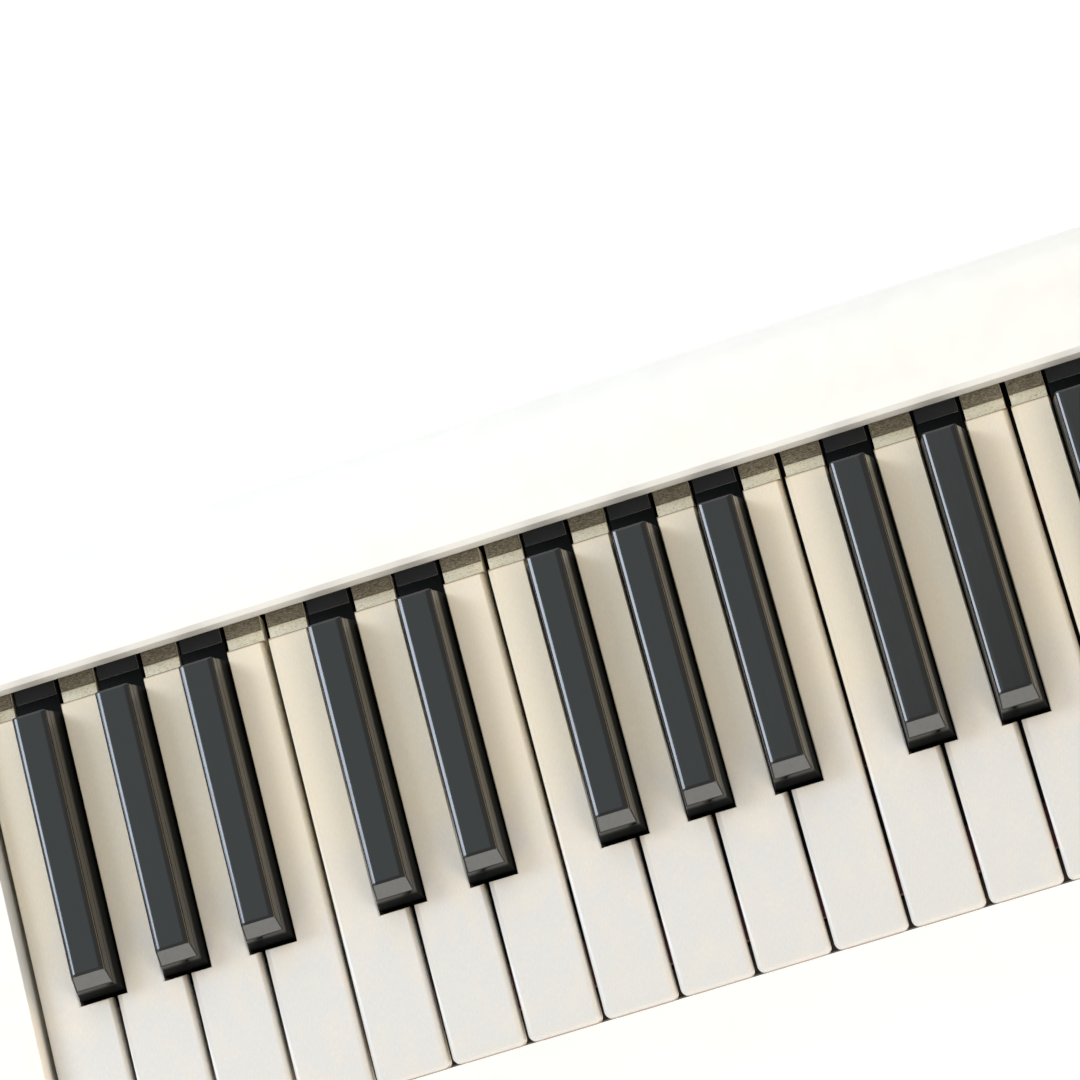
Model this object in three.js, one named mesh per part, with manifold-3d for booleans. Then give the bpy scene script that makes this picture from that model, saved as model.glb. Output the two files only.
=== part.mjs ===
// A 32-key melodica, F3 to C6: moulded case, 32 keys on one pivot rod, a wind chest with reed plates,
// a pull-off mouthpiece, a sprung drain button and a hand strap.
// Millimetres. X runs along the keyboard from bass to treble, Y points away from the player's side of
// the keys, Z is up, and the origin lies on the flat underside.
import * as THREE from "three";
import { mergeVertices } from "three/addons/utils/BufferGeometryUtils.js";
import Module from "manifold-3d";

const wasm = await Module();
wasm.setup();

// ---- driving dimensions ----
const PITCH = 20; // one white key and its gap
const WHITE_KEYS = 19;
const GAP = 1; // between two white keys
const FIT = 0.3; // clearance between touching pieces
const KEYBOARD = PITCH * WHITE_KEYS;
const CASE_LENGTH = 420;

const FRONT = -82; // front edge of the white keys
const REAR = 82; // back of the case
const CASE_FRONT = FRONT + 6; // front face of the lower case
const WHITE_LENGTH = 121.6; // white cap, front to back
const CAP_REAR = FRONT + WHITE_LENGTH;
const COVER_LIP = 46; // front edge of the rear cover

const WHITE_TOP = 44; // top of the white keys
const CAP = 3; // thickness of a white cap
const KEY_BOTTOM = 36; // underside of the key bodies
const CORNER = 1.7; // rounding of a white key's front corners

const SHARP_FRONT = FRONT + 43.5;
const SHARP_WIDTH = 11.8;
const SHARP_FLAT = 6.8; // width of a black key's top
const SHARP_HEIGHT = 10; // above the white keys
const SHARP_SETBACK = 4.2; // the front runs back this far to the top
const SHARP_STEEP = 6; // height of the steep lower sides, where the facets start
const SHARP_LEAN = 0.9; // the lower sides lean in this far
const SHARP_BROW = { width: 9.2, drop: 0.5 }; // soft shoulder along each side of the top
const SHARP_REAR = CAP_REAR - 3.5;
const SHARP_CLEARANCE = 0.45;
const SHARP_FRONT_CLEARANCE = 1.1;

const PIVOT_Y = 30; // the rod that every key turns on
const PIVOT_Z = 33.5;
const ROD_R = 1.5;
const ARM_WIDTH = 7.4; // hidden rear arm of every key
const PAD_Y = 64; // centre of the pads and of the valve holes
const PAD_LENGTH = 10;

const WALL = 2.4; // case walls
const PARTING = 27; // where the two halves of the case meet
const CHEEK_TOP = 50;
const CASE_ROUND = { top: 14, bottom: 9 }; // rounding of the case along its back

const CHEST = { x: 193.5, front: -22, rear: 74, bottom: 15.6, top: 26.2, wall: 2 };
const PLATE_BOTTOM = 27.2; // valve plate
const PLATE_TOP = 29.2;

const RECESS = { x: 70, front: 12, rear: 68, top: 13, corner: 9 }; // palm recess in the underside
const WIND_Y = -6; // the line of the mouthpiece, the inlet and the drain
const WIND_Z = 21.8; // height of the inlet and of the drain
const SOCKET = { bore: 5.2, outer: 6.6, z: 19.4 };
const BUTTON_R = 4.4;

// ---- the octave: white keys by letter, black keys by the gap they sit on ----
const LETTERS = ["C", "D", "E", "F", "G", "A", "B"];
const SHARPS = { C: -0.114, D: 0.098, F: -0.156, G: -0.013, A: 0.136 }; // shift in pitches
const FIRST_LETTER = 3; // the lowest key is an F
const FIRST_OCTAVE = 3;

const IVORY = { color: 0xece8dc, roughness: 0.35, metalness: 0 };
const BLACK = { color: 0x1b1e1e, roughness: 0.25, metalness: 0 };
const CASE = { color: 0xf0ede4, roughness: 0.45, metalness: 0 };
const DARK = { color: 0x26201d, roughness: 0.7, metalness: 0 };
const STEEL = { color: 0xb8b8b4, roughness: 0.3, metalness: 1 };
const BRASS = { color: 0xc9a252, roughness: 0.35, metalness: 1 };
const FELT = { color: 0x6b1f24, roughness: 1, metalness: 0 };
const RUBBER = { color: 0x222222, roughness: 0.8, metalness: 0 };
const WEBBING = { color: 0x24262a, roughness: 0.95, metalness: 0 };

// ---- geometry helpers ----
function solid(geometry) {
  const plain = geometry.index ? geometry.toNonIndexed() : geometry.clone();
  plain.deleteAttribute("normal");
  plain.deleteAttribute("uv");
  const merged = mergeVertices(plain, 1e-4);
  const mesh = new wasm.Mesh({
    numProp: 3,
    vertProperties: new Float32Array(merged.attributes.position.array),
    triVerts: new Uint32Array(merged.index.array),
  });
  return new wasm.Manifold(mesh);
}

function geometryOf(body) {
  const mesh = body.getMesh();
  const geometry = new THREE.BufferGeometry();
  geometry.setAttribute("position", new THREE.BufferAttribute(new Float32Array(mesh.vertProperties), 3));
  geometry.setIndex(new THREE.BufferAttribute(new Uint32Array(mesh.triVerts), 1));
  return geometry;
}

// A box given by its ends along each axis.
function box(x, y, z) {
  const geometry = new THREE.BoxGeometry(x[1] - x[0], y[1] - y[0], z[1] - z[0]);
  geometry.translate((x[0] + x[1]) / 2, (y[0] + y[1]) / 2, (z[0] + z[1]) / 2);
  return solid(geometry);
}

function shapeOf(outline) {
  if (outline instanceof THREE.Shape) return outline;
  return new THREE.Shape(outline.map(([u, v]) => new THREE.Vector2(u, v)));
}

function prism(outline, depth, curveSegments) {
  return new THREE.ExtrudeGeometry(shapeOf(outline), { depth, bevelEnabled: false, curveSegments });
}

// An outline in plan, [x, y] points or a Shape, drawn up from z[0] to z[1].
function plan(outline, z, curveSegments = 2) {
  const geometry = prism(outline, z[1] - z[0], curveSegments);
  geometry.translate(0, 0, z[0]);
  return solid(geometry);
}

// An outline in side view, [y, z] points, drawn along X.
function side(outline, x, curveSegments = 2) {
  const geometry = prism(outline, x[1] - x[0], curveSegments);
  geometry.applyMatrix4(new THREE.Matrix4().set(0, 0, 1, x[0], 1, 0, 0, 0, 0, 1, 0, 0, 0, 0, 0, 1));
  return solid(geometry);
}

// An outline in front view, [x, z] points, drawn along Y.
function front(outline, y, curveSegments = 2) {
  const geometry = prism(outline, y[1] - y[0], curveSegments);
  geometry.applyMatrix4(new THREE.Matrix4().set(1, 0, 0, 0, 0, 0, -1, y[1], 0, 1, 0, 0, 0, 0, 0, 1));
  return solid(geometry);
}

// A turned piece about a line along X; the profile holds [radius, x] points and closes on itself.
function turned(profile, y, z, segments = 16) {
  const points = profile.map(([r, x]) => new THREE.Vector2(r, x));
  if (THREE.ShapeUtils.isClockWise(points)) points.reverse();
  const geometry = new THREE.LatheGeometry([...points, points[0]], segments);
  geometry.applyMatrix4(new THREE.Matrix4().set(0, 1, 0, 0, 0, 0, 1, y, 1, 0, 0, z, 0, 0, 0, 1));
  return solid(geometry);
}

// A round bar between two places on a line along X or Z.
function rod(radius, from, to, segments = 10) {
  const [a, b] = [new THREE.Vector3(...from), new THREE.Vector3(...to)];
  const geometry = new THREE.CylinderGeometry(radius, radius, a.distanceTo(b), segments);
  const turn = new THREE.Quaternion().setFromUnitVectors(
    new THREE.Vector3(0, 1, 0), b.clone().sub(a).normalize());
  geometry.applyQuaternion(turn);
  geometry.translate((a.x + b.x) / 2, (a.y + b.y) / 2, (a.z + b.z) / 2);
  return solid(geometry);
}

// Points round an arc, from one angle to another in degrees.
function arc([u, v], r, from, to, steps = 5) {
  return Array.from({ length: steps + 1 }, (_, k) => {
    const angle = THREE.MathUtils.degToRad(from + ((to - from) * k) / steps);
    return [u + r * Math.cos(angle), v + r * Math.sin(angle)];
  });
}

function roundedRectangle(x, y, r) {
  const shape = new THREE.Shape();
  shape.absarc(x[1] - r, y[1] - r, r, 0, Math.PI / 2);
  shape.absarc(x[0] + r, y[1] - r, r, Math.PI / 2, Math.PI);
  shape.absarc(x[0] + r, y[0] + r, r, Math.PI, 1.5 * Math.PI);
  shape.absarc(x[1] - r, y[0] + r, r, 1.5 * Math.PI, 2 * Math.PI);
  shape.closePath();
  return shape;
}

const melodica = new THREE.Group();

function add(name, body, look) {
  const mesh = new THREE.Mesh(geometryOf(body), new THREE.MeshStandardMaterial(look));
  mesh.name = name;
  melodica.add(mesh);
}

// ---- the keyboard's layout ----
function layout() {
  const whites = [];
  const blacks = [];
  for (let i = 0; i < WHITE_KEYS; i += 1) {
    const step = FIRST_LETTER + i;
    const letter = LETTERS[step % 7];
    const octave = FIRST_OCTAVE + Math.floor(step / 7);
    const left = -KEYBOARD / 2 + i * PITCH;
    whites.push({ name: `key_${letter}${octave}`, left, right: left + PITCH });
    if (letter in SHARPS && i < WHITE_KEYS - 1) {
      const centre = left + PITCH * (1 + SHARPS[letter]);
      blacks.push({ name: `key_${letter}s${octave}`, centre });
    }
  }
  return { whites, blacks };
}

const { whites, blacks } = layout();

// The rear stretch of a white key, between its black neighbours.
function tailOf(white) {
  let [left, right] = [white.left + GAP / 2, white.right - GAP / 2];
  for (const { centre } of blacks) {
    const [a, b] = [centre - SHARP_WIDTH / 2 - SHARP_CLEARANCE, centre + SHARP_WIDTH / 2 + SHARP_CLEARANCE];
    if (a < right && b > white.right) right = a;
    if (b > left && a < white.left) left = b;
  }
  return [left, right];
}

// ---- keys ----
// The rear arm: a boss that hooks over the rod from above, a lever and the pad that shuts the valve.
function keyArm(centre) {
  const notch = ROD_R + FIT;
  const shape = new THREE.Shape();
  shape.moveTo(PIVOT_Y - 12, KEY_BOTTOM + 4);
  shape.lineTo(PIVOT_Y - 7, KEY_BOTTOM);
  shape.lineTo(PIVOT_Y - 4, PIVOT_Z - 1.7);
  shape.lineTo(PIVOT_Y - notch, PIVOT_Z - 1.7);
  shape.lineTo(PIVOT_Y - notch, PIVOT_Z);
  shape.absarc(PIVOT_Y, PIVOT_Z, notch, Math.PI, 0, true);
  shape.lineTo(PIVOT_Y + notch, PIVOT_Z - 1.7);
  shape.lineTo(PIVOT_Y + 4, PIVOT_Z - 1.7);
  shape.lineTo(PIVOT_Y + 7, KEY_BOTTOM - 2);
  shape.lineTo(PAD_Y - PAD_LENGTH / 2, KEY_BOTTOM - 2);
  shape.lineTo(PAD_Y - PAD_LENGTH / 2, PLATE_TOP + FIT);
  shape.lineTo(PAD_Y + PAD_LENGTH / 2, PLATE_TOP + FIT);
  shape.lineTo(PAD_Y + PAD_LENGTH / 2, KEY_BOTTOM + 1);
  shape.lineTo(COVER_LIP + 2, WHITE_TOP - CAP - FIT);
  shape.lineTo(PIVOT_Y - 12, WHITE_TOP - CAP - FIT);
  return side(shape, [centre - ARM_WIDTH / 2, centre + ARM_WIDTH / 2]);
}

function whiteKey(white) {
  const [left, right] = [white.left + GAP / 2, white.right - GAP / 2];
  const [tailLeft, tailRight] = tailOf(white);
  const shoulder = SHARP_FRONT - SHARP_FRONT_CLEARANCE;
  const cap = new THREE.Shape();
  cap.absarc(left + CORNER, FRONT + CORNER, CORNER, Math.PI, 1.5 * Math.PI);
  cap.absarc(right - CORNER, FRONT + CORNER, CORNER, 1.5 * Math.PI, 2 * Math.PI);
  if (tailRight < right) {
    cap.lineTo(right, shoulder);
    cap.lineTo(tailRight, shoulder);
  }
  cap.lineTo(tailRight, CAP_REAR);
  cap.lineTo(tailLeft, CAP_REAR);
  if (tailLeft > left) {
    cap.lineTo(tailLeft, shoulder);
    cap.lineTo(left, shoulder);
  }
  const inset = 0.6;
  const headY = [FRONT + 1, shoulder - inset];
  const head = plan(
    roundedRectangle([left + inset, right - inset], headY, CORNER), [KEY_BOTTOM, WHITE_TOP - 1]);
  const hollow = box(
    [left + 2, right - 2], [FRONT + 3, shoulder - 3], [KEY_BOTTOM - 1, WHITE_TOP - CAP]);
  const ledge = [tailLeft + inset / 2, tailRight - inset / 2];
  const body = box(ledge, [shoulder - 3, COVER_LIP + 1.4], [KEY_BOTTOM, WHITE_TOP - CAP]);
  return plan(cap, [WHITE_TOP - CAP, WHITE_TOP])
    .add(head)
    .add(body)
    .subtract(hollow)
    .add(keyArm((tailLeft + tailRight) / 2));
}

function blackKey(black) {
  const [half, flat] = [SHARP_WIDTH / 2, SHARP_FLAT / 2];
  const top = WHITE_TOP + SHARP_HEIGHT;
  const knee = WHITE_TOP + SHARP_STEEP;
  const [brow, browZ] = [SHARP_BROW.width / 2, top - SHARP_BROW.drop];
  const section = [
    [-half, KEY_BOTTOM], [half, KEY_BOTTOM], [half, WHITE_TOP], [half - SHARP_LEAN, knee],
    [brow, browZ], [flat, top], [-flat, top], [-brow, browZ], [SHARP_LEAN - half, knee],
    [-half, WHITE_TOP],
  ].map(([x, z]) => [black.centre + x, z]);
  const body = front(section, [SHARP_FRONT, CAP_REAR]);
  const wide = [black.centre - SHARP_WIDTH, black.centre + SHARP_WIDTH];
  const frontSlope = side([
    [SHARP_FRONT - 1, WHITE_TOP], [SHARP_FRONT, WHITE_TOP], [SHARP_FRONT + SHARP_LEAN, knee],
    [SHARP_FRONT + SHARP_SETBACK - 0.5, top - 0.5], [SHARP_FRONT + SHARP_SETBACK + 0.6, top + 0.1],
    [SHARP_FRONT - 1, top + 0.1],
  ], wide);
  const rearSlope = side([
    [SHARP_REAR, top + 0.1], [SHARP_REAR + 1.4, WHITE_TOP - CAP], [CAP_REAR + 1, WHITE_TOP - CAP],
    [CAP_REAR + 1, top + 0.1],
  ], wide);
  const tail = box([black.centre - half, black.centre + half],
    [CAP_REAR - 4, COVER_LIP + 1.4], [KEY_BOTTOM, WHITE_TOP - CAP]);
  return body.subtract(frontSlope).subtract(rearSlope).add(tail).add(keyArm(black.centre));
}

function addKeys() {
  for (const white of whites) add(white.name, whiteKey(white), IVORY);
  for (const black of blacks) add(black.name, blackKey(black), BLACK);
}

// ---- case ----
const CASE_X = CASE_LENGTH / 2;
const SCREW_X = CASE_X - 9;
const SCREW_Y = [-62, -32, 62];
const SCREWS = [-SCREW_X, SCREW_X].flatMap((x) => SCREW_Y.map((y) => [x, y]));

function lowerSection(inset, floor, top) {
  const slope = Math.tan(THREE.MathUtils.degToRad(20));
  const lip = CASE_FRONT + inset;
  const r = CASE_ROUND.bottom - inset;
  return [
    ...arc([lip + slope * 19 + 5, floor + 5], 5, 200, 270, 3),
    ...arc([REAR - inset - r, floor + r], r, -90, 0),
    [REAR - inset, top], [lip, top], [lip, PARTING - 3],
  ];
}

function palmRecess(grow, z) {
  const shape = roundedRectangle(
    [-RECESS.x - grow, RECESS.x + grow], [RECESS.front - grow, RECESS.rear + grow], RECESS.corner + grow);
  return plan(shape, z);
}

function lowerCase() {
  const outer = side(lowerSection(0, 0, PARTING), [-CASE_X, CASE_X]);
  const inner = side(lowerSection(WALL, WALL, PARTING + 1), [-CASE_X + WALL, CASE_X - WALL])
    .subtract(palmRecess(WALL, [-1, RECESS.top + 2.2]));
  let body = outer.subtract(inner).subtract(palmRecess(0, [-1, RECESS.top]));
  for (const [x, y] of SCREWS) {
    body = body.add(rod(4.6, [x, y, WALL / 2], [x, y, PARTING - FIT]));
    body = body.subtract(rod(3.6, [x, y, -1], [x, y, 3]));
    body = body.subtract(rod(1.9, [x, y, -1], [x, y, PARTING + 1]));
  }
  const wall = [CASE_X - WALL - 1, CASE_X + 1];
  const through = (radius, from, to, z) => rod(radius, [from, WIND_Y, z], [to, WIND_Y, z], 16);
  const socketHole = through(SOCKET.outer + FIT, -wall[1], -wall[0], SOCKET.z);
  const buttonHole = through(BUTTON_R + FIT, wall[0], wall[1], WIND_Z);
  return body.subtract(socketHole).subtract(buttonHole);
}

// Both cheeks and the rear cover, moulded in one and open below.
function upperCase() {
  const inside = KEYBOARD / 2 + 1;
  const bottom = PARTING + FIT;
  const round = [REAR - CASE_ROUND.top, CHEEK_TOP - CASE_ROUND.top];
  const bridge = side([
    [COVER_LIP, 44.6], [COVER_LIP, CHEEK_TOP - 1.2], [COVER_LIP + 1.2, CHEEK_TOP],
    ...arc(round, CASE_ROUND.top, 90, 0), [REAR, bottom], [REAR - WALL, bottom],
    ...arc(round, CASE_ROUND.top - WALL, 0, 90), [COVER_LIP + WALL, CHEEK_TOP - WALL],
    [COVER_LIP + WALL, 44.6],
  ], [-CASE_X, CASE_X]);
  let body = bridge;
  for (const [a, b] of [[-CASE_X, -inside], [inside, CASE_X]]) {
    const rear = side([
      [COVER_LIP, bottom], [COVER_LIP, CHEEK_TOP - 2], ...arc(round, CASE_ROUND.top - 0.5, 90, 0),
      [REAR - 0.5, bottom],
    ], [a, b]);
    const block = plan(roundedRectangle([a, b], [FRONT + 1.5, COVER_LIP + 4], 3), [bottom, CHEEK_TOP]);
    const hollow = box([a + WALL, b - WALL], [FRONT + 4, REAR - 18], [bottom - 1, CHEEK_TOP - WALL]);
    body = body.add(block.add(rear).subtract(hollow));
  }
  const overChest = [CHEST.front - 1, CHEST.rear + 1];
  body = body.subtract(box([-CHEST.x - 0.5, CHEST.x + 0.5], overChest, [bottom - 1, PLATE_TOP + FIT]));
  for (const [x, y] of SCREWS) {
    body = body.add(rod(4.2, [x, y, bottom], [x, y, CHEEK_TOP - 1]));
    body = body.subtract(rod(1.9, [x, y, bottom - 1], [x, y, bottom + 10]));
  }
  const slots = 14;
  for (let i = 0; i < slots; i += 1) {
    const x = (i - (slots - 1) / 2) * 24;
    body = body.subtract(box([x - 9, x + 9], [REAR - 5, REAR + 1], [31, 33.6]));
  }
  return body;
}

function addCase() {
  add("lower_case", lowerCase(), CASE);
  add("upper_case", upperCase(), CASE);
  SCREWS.forEach(([x, y], i) => {
    const screw = rod(3.2, [x, y, 0.8], [x, y, 2.7]).add(rod(1.5, [x, y, 2], [x, y, PARTING + 9], 8));
    add(`case_screw_${i + 1}`, screw, STEEL);
  });
}

// ---- bed under the key fronts ----
// Its front flange laps over the lower case's rim, so that the gaps between the keys look dark to the end.
function addBed() {
  const [z, rib] = [25, [-36, -28]];
  const rim = CASE_FRONT + WALL + FIT;
  const flange = [PARTING + FIT, PARTING + 1.9];
  const bed = side([
    [rim, z], [CHEST.front - 2, z], [CHEST.front - 2, z + 2], [rib[1], z + 2], [rib[1], z + 4.6],
    [rib[0], z + 4.6], [rib[0], z + 2], [rim + 1.8, z + 2], [rim + 1.8, flange[1]],
    [CASE_FRONT - 2.9, flange[1]], [CASE_FRONT - 2.9, flange[0]], [rim, flange[0]],
  ], [-KEYBOARD / 2, KEYBOARD / 2]);
  add("key_bed", bed, DARK);
  const length = [-KEYBOARD / 2 + 2, KEYBOARD / 2 - 2];
  add("front_felt", box(length, [FRONT + 12, FRONT + 24], [z + 2 + FIT, z + 5]), FELT);
  add("middle_felt", box(length, rib, [z + 4.6 + FIT, z + 7]), FELT);
}

// ---- pivot rail, rod and springs ----
const tails = [...whites.map((w) => tailOf(w)), ...blacks.map(({ centre }) => [centre - 5.9, centre + 5.9])]
  .map(([a, b]) => (a + b) / 2)
  .sort((a, b) => a - b);

function pivotRail() {
  const foot = [PIVOT_Y - 4, PIVOT_Y + 4];
  const base = PLATE_TOP + FIT;
  let rail = box([-KEYBOARD / 2 + 2, KEYBOARD / 2 - 2], foot, [base, base + 1.3]);
  const [mouth, top] = [ROD_R + FIT, PIVOT_Z + 1];
  const lug = [
    [foot[0], base + 1], [foot[1], base + 1], [foot[1], top], [PIVOT_Y + mouth, top],
    [PIVOT_Y + mouth, PIVOT_Z], [PIVOT_Y, PIVOT_Z - 2.9], [PIVOT_Y - mouth, PIVOT_Z],
    [PIVOT_Y - mouth, top], [foot[0], top],
  ];
  for (let i = 1; i < tails.length; i += 1) {
    const x = (tails[i - 1] + tails[i]) / 2;
    rail = rail.add(side(lug, [x - 0.7, x + 0.7]));
  }
  return rail;
}

function springComb() {
  const base = PLATE_TOP + FIT;
  const finger = [
    [PIVOT_Y - 15, base], [PIVOT_Y - 14, base + 0.5], [PIVOT_Y - 33, PIVOT_Z + 0.6],
    [PIVOT_Y - 33.4, PIVOT_Z + 0.1],
  ];
  let comb = box([-KEYBOARD / 2 + 3, KEYBOARD / 2 - 3], [PIVOT_Y - 18, PIVOT_Y - 8], [base, base + 0.5]);
  for (const x of tails) comb = comb.add(side(finger, [x - 1.6, x + 1.6]));
  return comb;
}

function addPivot() {
  const end = KEYBOARD / 2 - 0.5;
  add("key_pivot_rod", rod(ROD_R, [-end, PIVOT_Y, PIVOT_Z], [end, PIVOT_Y, PIVOT_Z], 10), STEEL);
  add("pivot_rail", pivotRail(), DARK);
  add("key_spring_comb", springComb(), BRASS);
}

// ---- wind chest ----
const REED_PLATE = { bottom: 19.2, top: 20.4, front: 10, rear: 70 };
const CELLS = { bottom: 20.7, front: 8.5, rear: 71 };

function windChest() {
  const { x, front: y0, rear: y1, bottom, top, wall } = CHEST;
  const tray = box([-x, x], [y0, y1], [bottom, top]);
  const inside = box([-x + wall, x - wall], [y0 + wall, y1 - wall], [bottom + wall, top + 1]);
  const inlet = rod(4.2, [-x - 1, WIND_Y, WIND_Z + 1.4], [-x + wall + 1, WIND_Y, WIND_Z + 1.4], 20);
  const drain = rod(2.4, [x - wall - 1, WIND_Y, WIND_Z], [x + 1, WIND_Y, WIND_Z]);
  return tray.subtract(inside).subtract(inlet).subtract(drain);
}

function valvePlate() {
  const z = [PLATE_BOTTOM, PLATE_TOP];
  let plate = box([-CHEST.x, CHEST.x], [CHEST.front, CHEST.rear], z);
  for (const t of tails) {
    plate = plate.subtract(box([t - 2.4, t + 2.4], [PAD_Y - 3.4, PAD_Y + 3.4], [z[0] - 1, z[1] + 1]));
  }
  return plate;
}

// One cell over each reed leads its air back to the valve hole.
function cellBlock() {
  const x = CHEST.x - CHEST.wall - FIT;
  let block = box([-x, x], [CELLS.front, CELLS.rear], [CELLS.bottom, CHEST.top]);
  for (const t of tails) {
    block = block.subtract(box([t - 3.6, t + 3.6], [12, 69], [CELLS.bottom - 1, CHEST.top + 1]));
  }
  return block;
}

// Each reed is the tongue left by a U-shaped slot, long in the bass and short in the treble.
function reedPlate(notes, x, from) {
  const [z, y0, width, cut] = [[REED_PLATE.bottom, REED_PLATE.top], 15, 1.7, 0.4];
  let plate = box(x, [REED_PLATE.front, REED_PLATE.rear], z);
  notes.forEach((t, i) => {
    const y1 = y0 + 46 * 2 ** (-(from + i) / 26);
    const slot = [
      [t - width - cut, y0], [t - width, y0], [t - width, y1], [t + width, y1], [t + width, y0],
      [t + width + cut, y0], [t + width + cut, y1 + cut], [t - width - cut, y1 + cut],
    ];
    plate = plate.subtract(plan(slot, [z[0] - 1, z[1] + 1]));
  });
  return plate;
}

function gasket() {
  const { x, front: y0, rear: y1, top, wall } = CHEST;
  const z = [top + FIT, PLATE_BOTTOM - FIT];
  const inside = box([-x + wall, x - wall], [y0 + wall, y1 - wall], [z[0] - 1, z[1] + 1]);
  return box([-x, x], [y0, y1], z).subtract(inside);
}

function addChest() {
  const half = tails.length / 2;
  const end = CHEST.x - CHEST.wall - 1;
  const middle = (tails[half - 1] + tails[half]) / 2;
  add("wind_chest", windChest(), DARK);
  add("cell_block", cellBlock(), IVORY);
  add("reed_plate_low", reedPlate(tails.slice(0, half), [-end, middle - 0.5], 0), BRASS);
  add("reed_plate_high", reedPlate(tails.slice(half), [middle + 0.5, end], half), BRASS);
  add("chest_gasket", gasket(), RUBBER);
  add("valve_plate", valvePlate(), STEEL);
}

// ---- mouthpiece at the bass end ----
function addMouthpiece() {
  const wall = -CASE_X;
  const inner = -CHEST.x - 2 * FIT;
  const socket = [
    [SOCKET.bore, wall - 1.6], [SOCKET.outer, wall - 1.6], [SOCKET.outer, inner], [SOCKET.bore, inner],
  ];
  const flange = [
    [SOCKET.bore, wall - 1.6], [8.6, wall - 1.6], [9.2, wall - 1], [9.2, wall - FIT],
    [SOCKET.bore, wall - FIT],
  ];
  const tube = turned(socket, WIND_Y, SOCKET.z).add(turned(flange, WIND_Y, SOCKET.z));
  add("mouthpiece_socket", tube, DARK);

  const [bore, face] = [3.6, wall - 2];
  const stem = turned([
    [bore, inner - 1], [4.7, inner - 1], [4.9, face], [8.8, face], [8.8, face - 4], [6.4, face - 5.5],
    [6.4, face - 17], [bore, face - 17],
  ], WIND_Y, SOCKET.z);
  const lips = roundedRectangle([-11, 11], [-5.2, 5.2], 5.1);
  const lipBore = roundedRectangle([-7.5, 7.5], [-2.7, 2.7], 2.6);
  const along = (shape, x) => side(shape, x, 3).translate([0, WIND_Y, SOCKET.z]);
  const beak = along(lips, [face - 33, face - 14]).subtract(along(lipBore, [face - 34, face - 16]));
  const passage = rod(bore - 0.2, [face - 20, WIND_Y, SOCKET.z], [face - 10, WIND_Y, SOCKET.z], 16);
  add("mouthpiece", stem.add(beak).subtract(passage), IVORY);
}

// ---- drain valve at the treble end ----
function addDrain() {
  const face = CASE_X;
  const inner = CHEST.x - CHEST.wall;
  const button = turned([
    [0, face + 3], [BUTTON_R - 0.8, face + 3], [BUTTON_R, face + 2.2], [BUTTON_R, face - 4],
    [1.4, face - 4], [1.4, inner - 2.8], [2.6, inner - 2.8], [2.6, inner - 4], [0, inner - 4],
  ], WIND_Y, WIND_Z);
  add("drain_button", button, DARK);
  const ring = [[1.7, inner - 2.5], [3.8, inner - 2.5], [3.8, inner - FIT], [1.7, inner - FIT]];
  add("drain_seal", turned(ring, WIND_Y, WIND_Z), RUBBER);

  const [turns, stepsPerTurn, coilR] = [4, 9, 2.9];
  const [a, b] = [CHEST.x + 0.8, face - 4.8];
  class Coil extends THREE.Curve {
    getPoint(t) {
      const angle = 2 * Math.PI * turns * t;
      const [y, z] = [coilR * Math.cos(angle), coilR * Math.sin(angle)];
      return new THREE.Vector3(a + (b - a) * t, WIND_Y + y, WIND_Z + z);
    }
  }
  const wire = new THREE.Shape();
  wire.absarc(0, 0, 0.35, 0, 2 * Math.PI);
  const sweep = { steps: turns * stepsPerTurn, extrudePath: new Coil(), curveSegments: 3 };
  add("drain_spring", solid(new THREE.ExtrudeGeometry(wire, sweep)), STEEL);
}

// ---- hand strap across the palm recess ----
function addStrap() {
  const [y, t] = [[28, 52], 1.6];
  const band = [[-68, 6.8], [-60.5, 6.8], [-50, 1.2], [50, 1.2], [60.5, 6.8], [68, 6.8]];
  const over = [...band].reverse().map(([x, z]) => [x, z + t]);
  add("hand_strap", front([...band, ...over], y), WEBBING);
  for (const [name, sign] of [["strap_anchor_left", -1], ["strap_anchor_right", 1]]) {
    const [near, far] = [60.5 * sign, (RECESS.x - FIT) * sign].sort((p, q) => p - q);
    add(name, box([near, far], [25, 55], [6.8 + t + FIT, RECESS.top - FIT]), DARK);
  }
}

addKeys();
addCase();
addBed();
addPivot();
addChest();
addMouthpiece();
addDrain();
addStrap();

export default melodica;
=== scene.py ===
import math

import bmesh
import bpy
from mathutils import Matrix, Vector


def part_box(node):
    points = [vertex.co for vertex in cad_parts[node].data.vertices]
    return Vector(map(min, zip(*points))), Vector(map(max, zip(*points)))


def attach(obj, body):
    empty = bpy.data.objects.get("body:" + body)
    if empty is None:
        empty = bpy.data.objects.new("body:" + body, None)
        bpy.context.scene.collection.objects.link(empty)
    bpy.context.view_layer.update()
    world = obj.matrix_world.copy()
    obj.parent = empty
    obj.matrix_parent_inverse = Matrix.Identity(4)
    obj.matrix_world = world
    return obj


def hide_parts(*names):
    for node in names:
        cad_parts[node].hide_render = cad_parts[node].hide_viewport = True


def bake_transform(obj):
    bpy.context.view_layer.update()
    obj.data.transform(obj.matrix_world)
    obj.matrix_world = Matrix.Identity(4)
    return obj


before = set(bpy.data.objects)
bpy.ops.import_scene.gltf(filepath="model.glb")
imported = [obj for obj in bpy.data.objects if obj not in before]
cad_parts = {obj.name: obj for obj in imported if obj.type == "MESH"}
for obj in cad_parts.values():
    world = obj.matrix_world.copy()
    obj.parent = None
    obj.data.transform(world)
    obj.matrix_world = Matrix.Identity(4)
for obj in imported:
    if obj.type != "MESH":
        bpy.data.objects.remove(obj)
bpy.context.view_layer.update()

mm = 0.001

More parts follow.
